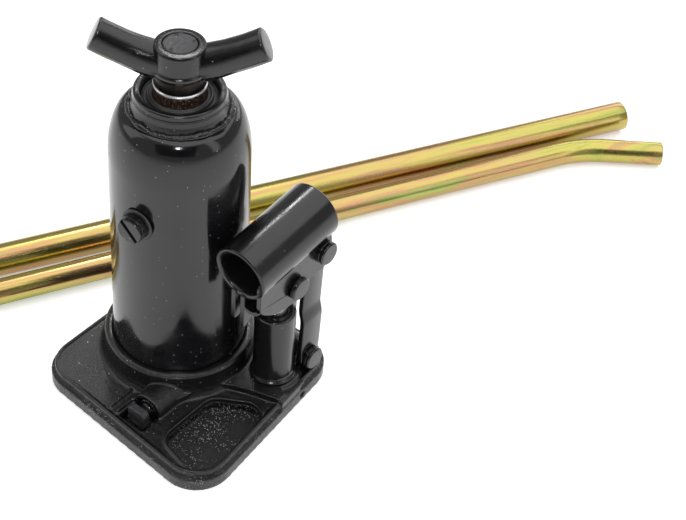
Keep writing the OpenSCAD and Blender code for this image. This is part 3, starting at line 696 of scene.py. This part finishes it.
def pin(tail, head_from, head_to, r, head_r, y, z):
    """Headed pin along X, with a grooved, chamfered head."""
    h = head_to - head_from
    prof = soft([(0.001, tail), (r - 0.5, tail), (r, tail + 0.5), (r, tail + 1.1), (r - 0.9, tail + 1.15),
                 (r - 0.9, tail + 2.15), (r, tail + 2.2), (r, head_from), (head_r - 0.4, head_from),
                 (head_r, head_from + 0.3), (head_r, head_from + h * 0.45),
                 (head_r - 0.25, head_from + h * 0.5), (head_r, head_from + h * 0.56),
                 (head_r, head_to - 0.7), (head_r - 0.8, head_to),
                 (0.001, head_to - 0.08)], 0.22)
    return moved(lathe(prof, 72), along_x(0, y, z))


for node, body, r, start in (("plunger_pin", "rocker", 3.6, 13.4), ("upper_link_pin", "rocker", 3.6, 11.4),
                             ("lower_link_pin", "link", 3.3, 10.0)):
    lo, hi = box(node)
    centre = (lo + hi) / 2
    head_r = (hi.z - lo.z) / 2
    headed = pin(lo.x, pump.x + start + 0.05, hi.x, r, head_r, centre.y, centre.z)
    finish_mesh(node + "_headed", *headed, forged, body, "black_enamel", [node])


def link(sign):
    """Pressed link plate with a step inwards near its middle."""
    y0, zl, y1, zu = lower_pin.y, lower_pin.z, upper_pin.y, upper_pin.z
    r_low, r_up, wide = 7.0, 5.4, 7.6
    low, high = zl - r_low, zu + r_up
    heights = []
    for i in range(15):
        heights.append(low + r_low * (1 - math.cos(math.pi / 2 * i / 14)))
    heights += [zl + (zu - zl) * i / 60 for i in range(1, 60)]
    for i in range(15):
        heights.append(zu + r_up * math.sin(math.pi / 2 * i / 14))
    rows = []
    for z in heights:
        y = y0 + (y1 - y0) * min(1.0, max(0.0, (z - zl) / (zu - zl)))
        if z < zl:
            w = math.sqrt(max(0.01, r_low ** 2 - (zl - z) ** 2))
        elif z > zu:
            w = math.sqrt(max(0.01, r_up ** 2 - (z - zu) ** 2))
        else:
            w = r_low + (wide - r_low) * smoothstep(zl, zl + 8, z)
            w -= (wide - r_up) * smoothstep(zu - 12, zu - 1, z)
        x_out = 10.0 - 1.8 * smoothstep(45.5, 54.5, z)
        c = min(0.55, w * 0.4)
        near_end = min(1.0, min(z - low, high - z) / 0.55)
        x_a, x_b = x_out - 3.0, x_out
        inset = 0.45 * (1 - near_end)
        sec = [(x_a + c, -w), (x_b - c, -w), (x_b - c * 0.3, -w + c * 0.3), (x_b, -w + c), (x_b, w - c),
               (x_b - c * 0.3, w - c * 0.3), (x_b - c, w), (x_a + c, w), (x_a + c * 0.3, w - c * 0.3),
               (x_a, w - c), (x_a, -w + c), (x_a + c * 0.3, -w + c * 0.3)]
        xm = (x_a + x_b) / 2
        rows.append([(pump.x + sign * (xm + (x - xm) * (1 - inset * 0.5)), y + v, z) for x, v in sec])
    return grid(rows, caps=True)


finish_mesh("link_right_pressed", *link(1), pressed, "link", "black_enamel", ["link_plate_right"], angle=50)
finish_mesh("link_left_pressed", *link(-1), pressed, "link", "black_enamel", ["link_plate_left"], angle=50)


# ---------- handle socket ----------

mouth = Vector(MOUNTS["socket_mouth"]["pos_m"]) / MM
out_dir = Vector(MOUNTS["socket_mouth"]["axis"])
bore_r = MOUNTS["socket_mouth"]["dims"]["r_mm"]
tube_r, tube_len = 15.6, 59.0
mouth = mouth + out_dir * (tube_len / 2)
to_socket = Matrix.Translation(mouth) @ (-out_dir).to_track_quat("Z", "Y").to_matrix().to_4x4()
wall = soft([(bore_r, 0.8), (bore_r + 0.5, 0.1), (tube_r - 0.6, -0.1), (tube_r + 0.15, 0.6),
             (tube_r + 0.1, 2.0), (tube_r, 4.0), (tube_r, tube_len - 0.7), (tube_r - 0.7, tube_len),
             (bore_r + 0.6, tube_len), (bore_r, tube_len - 0.6)], 0.35)
long_wall = []
for (ra, za), (rb, zb) in zip(wall, wall[1:] + wall[:1]):
    steps = 16 if abs(zb - za) > 20 else 1
    long_wall += [(ra + (rb - ra) * i / steps, za + (zb - za) * i / steps) for i in range(steps)]
finish_mesh("socket_tube", *moved(lathe(long_wall, 144, True), to_socket), pressed, "rocker", "black_enamel",
            ["handle_socket"])

front = mouth.y + 1.0


def cheek(sign, start):
    """Side sheet of the socket, stepping inwards towards the link."""
    pts = [(start, mouth.z - 2), (start, 88), (start + 2.3, 84.6), (start + 7.6, 80.4), (start + 13.8, 77.2),
           (10, 75.8), (18, 75.6), (22.5, 77.2), (26, 79.8), (32, 80.8), (39, 80.6), (43.2, 82.4), (45.6, 86),
           (46, 91), (45.2, 98), (43.4, 109), (30, 109)]
    if start > 0:
        pts = [(start, mouth.z - 2), (start, 82), (start + 3, 77.5)] + pts[5:]
    outline = rounded(pts, 3.0, 5)
    x0, x1 = pump.x + sign * 10.5, pump.x + sign * 13.4
    cuts = [24 + i * 0.75 for i in range(9)]
    return plate(outline, [], min(x0, x1), max(x0, x1), cuts,
                 lambda y, z: -sign * (2.0 * smoothstep(24, 30, y)))


finish_mesh("socket_cheek_right", *cheek(1, front), pressed, "rocker", "black_enamel", bevel=0.55)
finish_mesh("socket_cheek_left", *cheek(-1, 4.0), pressed, "rocker", "black_enamel", bevel=0.55)

flange_top = mouth.z - 13.6
flange = rounded([(mouth.y + 0.6, flange_top), (mouth.y + 0.6, 71.6), (mouth.y + 2.4, 71.2),
                  (mouth.y + 12, 78.4), (mouth.y + 12.6, flange_top)], 1.2, 4)
flange_hole = circle(3.4, 36, (mouth.y + 7.0, 83.6))
finish_mesh("socket_flange", *plate(flange, [flange_hole], pump.x + 0.4, pump.x + 3.3), pressed, "rocker",
            "black_enamel", bevel=0.5)
leg = rounded([(mouth.y + 0.6, flange_top + 1), (mouth.y + 0.6, 73.6), (mouth.y + 8, 74.6),
               (mouth.y + 12, 80), (mouth.y + 12, flange_top + 1)], 1.2, 4)
finish_mesh("socket_leg", *plate(leg, [], pump.x - 5.6, pump.x - 2.7), pressed, "rocker", "black_enamel",
            bevel=0.5)


def curl(x_from, x_to, z_low):
    """Rolled edge of the sheet that joins the tube to the cheek beside the mouth."""
    rows = []
    for k in range(9):
        y = mouth.y + 0.8 + 11 * k / 8
        rows.append([])
        for i in range(24):
            a = math.pi * i / 23
            xm, w = (x_from + x_to) / 2, (x_to - x_from) / 2
            rows[-1].append((xm + w * math.cos(a), y, z_low + 4.2 - 3.6 * math.sin(a)))
        for i in range(24):
            a = math.pi * (23 - i) / 23
            rows[-1].append((xm + (w - 2.2) * math.cos(a), y, z_low + 4.2 - 1.6 * math.sin(a)))
    return grid(rows, caps=True)


finish_mesh("socket_curl", *curl(pump.x + 0.6, pump.x + 12.6, 82.6), pressed, "rocker", "black_enamel",
            angle=50)


# ---------- release valve and filler plug ----------

def lobed(r, lobe, t0, t1, chamfer=0.6, n=96):
    """Flat valve head with four lobes."""
    rows = []
    for shrink, t in ((0.001, t0), (1 - chamfer / r, t0), (1.0, t0 + chamfer), (1.0, t1 - chamfer),
                      (1 - chamfer / r, t1), (0.55, t1), (0.5, t1 - 0.25), (0.001, t1 - 0.25)):
        rows.append([((r + lobe * math.cos(4 * a + math.pi)) * shrink * math.cos(a),
                      (r + lobe * math.cos(4 * a + math.pi)) * shrink * math.sin(a), t)
                     for a in [2 * math.pi * i / n for i in range(n)]])
    return grid(rows)


valve_axis = Matrix.Translation(valve) @ Matrix.Rotation(math.radians(90), 4, "X")
length = valve.y - spindle_lo.y
stem = soft([(0.001, -25.6), (4.0, -25.6), (4.05, -2.6), (5.9, -2.4), (5.9, -0.4), (5.2, 0.0), (3.8, 0.1),
             (3.4, 0.9), (3.4, length - 4.6), (4.4, length - 4.0), (0.001, length - 4.0)], 0.3)
finish_mesh("release_spindle_body", *moved(lathe(stem, 72), valve_axis), forged, "release_valve",
            "black_enamel", ["release_valve_spindle"])
finish_mesh("release_spindle_head", *moved(lobed(6.5, 0.85, length - 4.3, length), valve_axis), sawn,
            "release_valve", "black_enamel", angle=30)

plug_mid = middle("filler_seal")
pull = Vector(JOINTS["filler_plug_pull"]["axis"])
down = Vector((0, 0, -1))
plug_axes = Matrix((down, pull.cross(down), pull)).transposed().to_4x4()
at_plug = Matrix.Translation((0, 0, plug_mid.z)) @ plug_axes
plug = soft([(0.001, r0 - 6), (4.6, r0 - 6), (4.6, r0 + 0.9), (5.6, r0 + 1.4), (6.7, r0 + 1.5),
             (7.0, r0 + 2.2), (7.0, r0 + 5.4), (0.001, r0 + 5.4)], 0.3)
finish_mesh("filler_plug_body", *moved(lathe(plug, 72), at_plug), forged, "filler", "black_enamel",
            ["filler_plug"])


def half_disc(r, gap, n=28):
    """Outline of the part of a disc on one side of a slot."""
    a0 = math.asin(gap / r)
    return [(r * math.cos(a0 + (math.pi - 2 * a0) * i / n), r * math.sin(a0 + (math.pi - 2 * a0) * i / n))
            for i in range(n + 1)]


for label, turn in (("a", 0), ("b", 180)):
    spin = Matrix.Rotation(math.radians(42 + turn), 4, "Z")
    shape = plate(half_disc(7.0, 0.85), [], r0 + 5.2, r0 + 7.6)
    turned = [Vector((v.y, v.z, v.x)) for v in shape[0]]
    finish_mesh("filler_plug_lip_" + label, [at_plug @ spin @ v for v in turned], shape[1], forged, "filler",
                "black_enamel", bevel=0.55)
grommet = soft([(4.7, r0 - 4), (6.1, r0 - 4), (6.1, r0 + 0.1), (8.6, r0 + 0.2), (9.0, r0 + 0.7),
                (8.5, r0 + 1.3), (7.4, r0 + 1.4), (7.0, r0 + 1.0), (4.7, r0 + 1.0)], 0.25)
finish_mesh("filler_grommet", *moved(lathe(grommet, 80, True), at_plug), rubber, "base", "seal_rubber",
            ["filler_seal"])


# ---------- handle pieces ----------

def bar(name, node, body, d, bore, bend_deg, bend_r, end_len, x, y, length, turn):
    """Drawn tube on the ground, with softened ends and, for the thin one, a bend."""
    axis = Vector((math.cos(math.radians(turn)), math.sin(math.radians(turn)), 0))
    side = Vector((-axis.y, axis.x, 0))
    up = Vector((0, 0, 1))
    start = Vector((x, y, d / 2))
    centres = []
    for i in range(61):
        centres.append((start + axis * (length * i / 60), axis))
    if bend_deg:
        hub_pt = start + axis * length - side * bend_r
        for i in range(1, 15):
            a = math.radians(bend_deg) * i / 14
            t = axis * math.cos(a) - side * math.sin(a)
            centres.append((hub_pt + side * (bend_r * math.cos(a)) + axis * (bend_r * math.sin(a)), t))
        p, t = centres[-1]
        for i in range(1, 6):
            centres.append((p + t * (end_len * i / 5), t))
    n = 64

    def ring_of(c, t, r):
        across = up.cross(t).normalized()
        turns = [2 * math.pi * i / n for i in range(n)]
        return [c + (across * math.cos(b) + up * math.sin(b)) * r for b in turns]

    rows = []
    r_out, r_in = d / 2, bore / 2
    c0, t0 = centres[0]
    for r, push in ((r_in, 4.0), (r_in, 0.5), (r_in + 0.35, 0.08), (r_out - 0.5, 0.0), (r_out - 0.12, 0.15),
                    (r_out, 0.6)):
        rows.append(ring_of(c0 + t0 * push, t0, r))
    for c, t in centres[1:-1]:
        rows.append(ring_of(c, t, r_out))
    c1, t1 = centres[-1]
    for r, push in ((r_out, -0.6), (r_out - 0.12, -0.15), (r_out - 0.5, 0.0), (r_in + 0.35, -0.08),
                    (r_in, -0.5), (r_in, -4.0)):
        rows.append(ring_of(c1 + t1 * push, t1, r))
    for c, t in reversed(centres[1:-1]):
        rows.append(ring_of(c, t, r_in))
    rows.append(rows[0])
    finish_mesh(name, *grid(rows), yellow_zinc, body, "yellow_zinc", [node], angle=60)


bar("thick_handle_tube", "handle_tube_thick", "thick_handle", 18.6, 15.4, 0, 0, 0, -130.6, -34.7, 432, 62.2)
bar("thin_handle_tube", "handle_tube_thin", "thin_handle", 14.8, 11.6, 24.3, 80, 36.7, -112.6, -51.7, 378,
    62.8)


# ---------- floor, light and camera ----------

floor_mesh = bpy.data.meshes.new("floor")
floor_mesh.from_pydata([(-6, -6, 0), (6, -6, 0), (6, 6, 0), (-6, 6, 0)], [], [(0, 1, 2, 3)])
floor = bpy.data.objects.new("floor", floor_mesh)
bpy.context.scene.collection.objects.link(floor)
paper = Shade("paper")
paper.set(Base_Color=paper.ramp(paper.noise(3, 2), [(0.3, (0.90, 0.90, 0.90)), (0.7, (0.93, 0.93, 0.93))]),
          Roughness=0.85, Emission_Color=(1.0, 1.0, 1.0), Emission_Strength=0.3)
floor_mesh.materials.append(paper.mat)


def softbox(name, place, target, size, power, size_y=None):
    """Rectangular studio light aimed at a target."""
    light = bpy.data.lights.new(name, "AREA")
    light.shape = "RECTANGLE"
    light.size = size
    light.size_y = size_y or size
    light.energy = power
    obj = bpy.data.objects.new(name, light)
    obj.location = place
    obj.rotation_euler = (Vector(target) - Vector(place)).to_track_quat("-Z", "Y").to_euler()
    bpy.context.scene.collection.objects.link(obj)
    return obj


softbox("overhead", (0.1, 0.5, 2.2), (0.0, 0.1, 0.0), 3.2, 48)
softbox("left_box", (-1.3, -0.9, 1.1), (0, 0, 0.1), 0.9, 5, 1.4)
softbox("right_strip", (1.5, 0.3, 0.9), (0.05, 0, 0.1), 0.4, 2.5, 1.4)
softbox("back_fill", (-0.3, 2.2, 0.9), (0, 0, 0.1), 1.6, 9, 0.9)
softbox("key", (0.50, -0.62, 0.86), (0.0, 0.0, 0.17), 0.09, 3.2, 0.16)
softbox("spark", (-0.46, 0.52, 0.92), (0.055, -0.045, 0.0), 0.10, 1.2)

# dark card behind the camera, seen only in reflections
card_mesh = bpy.data.meshes.new("dark_card")
card_x, card_y = 0.75, 0.5
card_corners = [(-card_x, -card_y, 0), (card_x, -card_y, 0), (card_x, card_y, 0), (-card_x, card_y, 0)]
card_mesh.from_pydata(card_corners, [], [(0, 1, 2, 3)])
card = bpy.data.objects.new("dark_card", card_mesh)
card.location = (0.62, -0.88, 0.80)
card.rotation_euler = (Vector((0, 0, 0.12)) - card.location).to_track_quat("-Z", "Y").to_euler()
bpy.context.scene.collection.objects.link(card)
velvet = Shade("dark_card")
pile = velvet.ramp(velvet.noise(8, 2), [(0.3, (0.004, 0.004, 0.004)), (0.7, (0.008, 0.008, 0.008))])
velvet.set(Base_Color=pile, Roughness=1.0, Specular_IOR_Level=0.0)
card_mesh.materials.append(velvet.mat)
card.visible_camera = False
card.visible_shadow = False
card.visible_diffuse = False

world = bpy.data.worlds.new("studio")
bpy.context.scene.world = world
world.use_nodes = True
world.node_tree.nodes["Background"].inputs["Color"].default_value = (1.0, 1.0, 1.0, 1)
world.node_tree.nodes["Background"].inputs["Strength"].default_value = 0.42

cam_data = bpy.data.cameras.new("photo_camera")
cam = bpy.data.objects.new("photo_camera", cam_data)
bpy.context.scene.collection.objects.link(cam)
cam_data.sensor_width = 36
cam_data.lens = 89.1236
cam_data.clip_start = 0.01
cam_data.clip_end = 30
az, el, roll = math.radians(35.09), math.radians(42.66), math.radians(5.11)
fwd = Vector((-math.sin(az) * math.cos(el), math.cos(az) * math.cos(el), -math.sin(el)))
right = Vector((math.cos(az), math.sin(az), 0))
up = right.cross(fwd)
right2 = right * math.cos(roll) + up * math.sin(roll)
up2 = up * math.cos(roll) - right * math.sin(roll)
cam_axes = Matrix((right2, up2, -fwd)).transposed().to_4x4()
cam.matrix_world = Matrix.Translation((0.4430, -0.4825, 0.6819)) @ cam_axes
bpy.context.scene.camera = cam
bpy.context.scene.view_settings.view_transform = "Standard"
bpy.context.scene.view_settings.look = "None"
